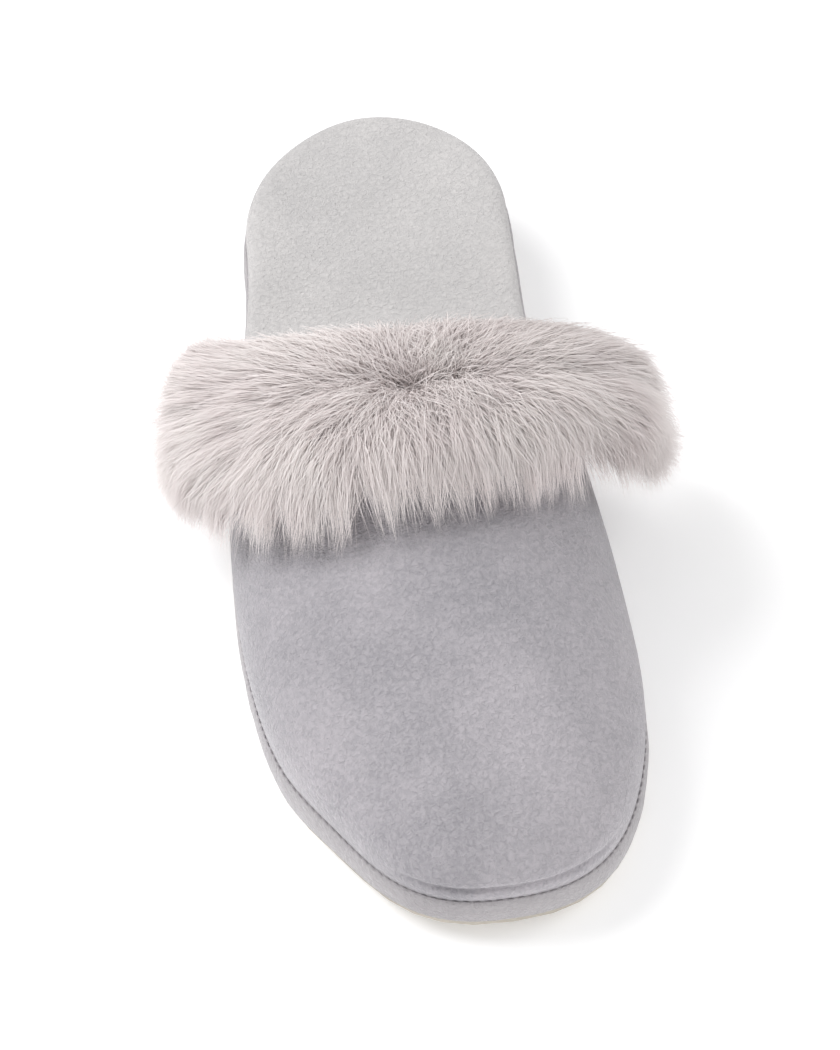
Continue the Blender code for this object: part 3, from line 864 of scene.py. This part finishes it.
def strand_ribbons(name, places, normals, tone, material):
    """Flat tapering ribbons along the strands, in one mesh. A map holds their tone and the way along them."""
    count, points = places.shape[:2]
    run = np.gradient(places, axis=1)
    run /= np.linalg.norm(run, axis=2, keepdims=True) + 1e-12
    twist = np.random.default_rng(11).normal(0, 0.28, (count, 1, 3))
    across = np.cross(run, normals + np.array([0.0, -0.25, 0.35]) + twist)
    across /= np.linalg.norm(across, axis=2, keepdims=True) + 1e-12
    half = STRAND_WIDTH / 2 * np.array(STRAND_TAPER)[None, :, None]
    left, right = places - across * half, places + across * half
    corners = np.concatenate([left[:, :-1], right[:, :-1], places[:, -1:]], axis=1)
    per = 2 * (points - 1) + 1
    offset = (np.arange(count) * per)[:, None]
    faces, sizes = [], []
    for k in range(points - 2):
        quad = np.array([k, points - 1 + k, points + k, k + 1])[None, :]
        faces.append(offset + quad)
        sizes.append(4)
    last = np.array([points - 2, 2 * (points - 1) - 1, 2 * (points - 1)])[None, :]
    faces.append(offset + last)
    sizes.append(3)
    loops = np.concatenate(faces, axis=1).reshape(-1)
    totals = np.tile(np.array(sizes), count)
    starts = np.concatenate([[0], np.cumsum(totals)[:-1]])
    mesh = bpy.data.meshes.new(name)
    mesh.vertices.add(count * per)
    mesh.vertices.foreach_set("co", corners.reshape(-1).astype(np.float32))
    mesh.loops.add(len(loops))
    mesh.loops.foreach_set("vertex_index", loops.astype(np.int32))
    mesh.polygons.add(len(totals))
    mesh.polygons.foreach_set("loop_start", starts.astype(np.int32))
    mesh.update(calc_edges=True)
    mesh.validate()
    level = np.linspace(0, 1, points)
    along = np.concatenate([level[:-1], level[:-1], level[-1:]])
    own = np.stack([np.repeat(tone, per), np.tile(along, count)], axis=1)
    layer = mesh.uv_layers.new(name="pile")
    layer.uv.foreach_set("vector", own[loops].reshape(-1).astype(np.float32))
    mesh.shade_smooth()
    return piece(name, mesh, material)


def make_pile(material):
    """The dense body of the pile and the loose strands over it."""
    ground = pile_ground()
    draw = np.random.default_rng(5)
    middle, half = PILE_BODY
    rows = []
    for turn in np.linspace(-1, 1, BODY_ROWS):
        travel = middle + half * turn
        size = math.sqrt(max(0.0, 1 - abs(turn) ** 6)) + 0.02
        outer = np.concatenate([np.linspace(BODY_FRONT, 0.0, 13), np.linspace(0.0, BODY_BACK, 10)[1:]])
        top = np.interp(np.abs(outer), *zip(*PILE_FACE)) * BODY_HEIGHT * size + 0.02
        under = np.linspace(BODY_BACK - 0.02, BODY_FRONT + 0.02, 16)
        bottom = np.where(under > 0.1, -0.12, 0.0)
        across = np.concatenate([outer, under])
        off = np.concatenate([top, bottom])
        places = pile_places(ground, np.full(across.shape, travel), across * (0.35 + 0.65 * size), off)
        rows.append([Vector(p) for p in places])
    body = skin("pile_body", rows, True, material)
    pile_map = body.data.uv_layers.new(name="pile")
    pile_map.uv.foreach_set("vector", np.tile([0.7, 0.12], len(body.data.loops)).astype(np.float32))
    places, normals, tone = draw_strands(ground, draw)
    strands = [body]
    share = len(places) // PILE_PIECES + 1
    for number in range(PILE_PIECES):
        part = slice(number * share, (number + 1) * share)
        name = f"pile_strands_{number + 1}"
        strands.append(strand_ribbons(name, places[part], normals[part], tone[part], material))
    return strands


# The stage


def make_stage():
    paint = Paint("pale_floor")
    paint.set(Base_Color=(0.93, 0.93, 0.935, 1.0), Roughness=0.9, Specular_IOR_Level=0.1)
    paint.set(Emission_Color=(1.0, 1.0, 1.0, 1.0), Emission_Strength=0.25)
    mesh = bpy.data.meshes.new("floor")
    mesh.from_pydata([(-6, -6, 0), (6, -6, 0), (6, 6, 0), (-6, 6, 0)], [], [(0, 1, 2, 3)])
    floor = piece("floor", mesh, paint.material)
    world = bpy.data.worlds.new("studio")
    world.use_nodes = True
    background = world.node_tree.nodes["Background"]
    background.inputs["Color"].default_value = (1.0, 1.0, 1.0, 1.0)
    background.inputs["Strength"].default_value = 0.42
    bpy.context.scene.world = world
    bpy.context.scene.view_settings.view_transform = "Standard"


def make_light(name, place, target, size, power):
    data = bpy.data.lights.new(name, "AREA")
    data.shape = "DISK"
    data.size = size
    data.energy = power
    light = bpy.data.objects.new(name, data)
    light.location = place
    light.rotation_mode = "QUATERNION"
    light.rotation_quaternion = (Vector(target) - Vector(place)).to_track_quat("-Z", "Y")
    bpy.context.scene.collection.objects.link(light)


# The camera stands where the photograph's did, and is turned to the shoe and closer in
VIEW_ELEVATION = math.radians(47)
VIEW_HEADING = math.radians(11)
VIEW_DISTANCE = 1.5204
VIEW_ORIGIN = Vector((0.0866, 0.03446, 0.0))
PHOTO_FOCAL = 3550.0  # in pixels of the 840 by 1050 frame
PHOTO_MIDDLE = (420.0, 525.0)
SHOE_MIDDLE = (214.0, 533.0)
CLOSER = 1.72
SENSOR = 36.0
FRAME_LONG = 1050.0


def make_camera():
    back = Vector((0, -math.cos(VIEW_ELEVATION), math.sin(VIEW_ELEVATION)))
    right = Vector((1, 0, 0))
    up = back.cross(right)
    turn = Matrix.Rotation(-VIEW_HEADING, 3, "Z")
    across = (SHOE_MIDDLE[0] - PHOTO_MIDDLE[0]) / PHOTO_FOCAL
    down = (SHOE_MIDDLE[1] - PHOTO_MIDDLE[1]) / PHOTO_FOCAL
    aim = (right * across - up * down - back).normalized()
    sideways = aim.cross(up).normalized()
    upright = sideways.cross(aim)
    rotation = Matrix((turn @ sideways, turn @ upright, turn @ -aim)).transposed().to_4x4()
    data = bpy.data.cameras.new("camera")
    data.sensor_width = SENSOR
    data.lens = PHOTO_FOCAL * SENSOR / FRAME_LONG * CLOSER
    data.clip_end = 20.0
    camera = bpy.data.objects.new("camera", data)
    bpy.context.scene.collection.objects.link(camera)
    rotation.translation = turn @ (back * VIEW_DISTANCE) + VIEW_ORIGIN
    camera.matrix_world = rotation
    bpy.context.scene.camera = camera


# Making it all

make_camera()
make_stage()
make_light("key", (-1.0, 0.6, 1.25), (0, 0.03, 0), 1.4, 24)
make_light("fill", (1.1, -0.1, 0.9), (0, 0.03, 0), 1.2, 7)
make_light("front", (-0.3, -1.3, 0.45), (0, 0.0, 0), 0.9, 5)

upper_velour = velour_paint("upper_velour", colour(192, 187, 192), colour(150, 148, 153))
band_velour = velour_paint("band_velour", colour(187, 183, 185), colour(165, 161, 164))
insole_velour = velour_paint("insole_velour", colour(218, 215, 214), colour(192, 190, 190))

band = make_band(band_velour)
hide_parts("wrapped_midsole")

insole = make_insole(insole_velour)
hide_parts("insole")

upper = make_upper(upper_velour)
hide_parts("upper")

stitches = make_stitches(thread_paint())

pile = make_pile(pile_paint())
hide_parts("fur_trim")

for made in (band, insole, upper, stitches, *pile):
    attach(made, "root")

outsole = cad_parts["outsole"]
cream = outsole_paint()
for slot in outsole.material_slots:
    slot.material = cream
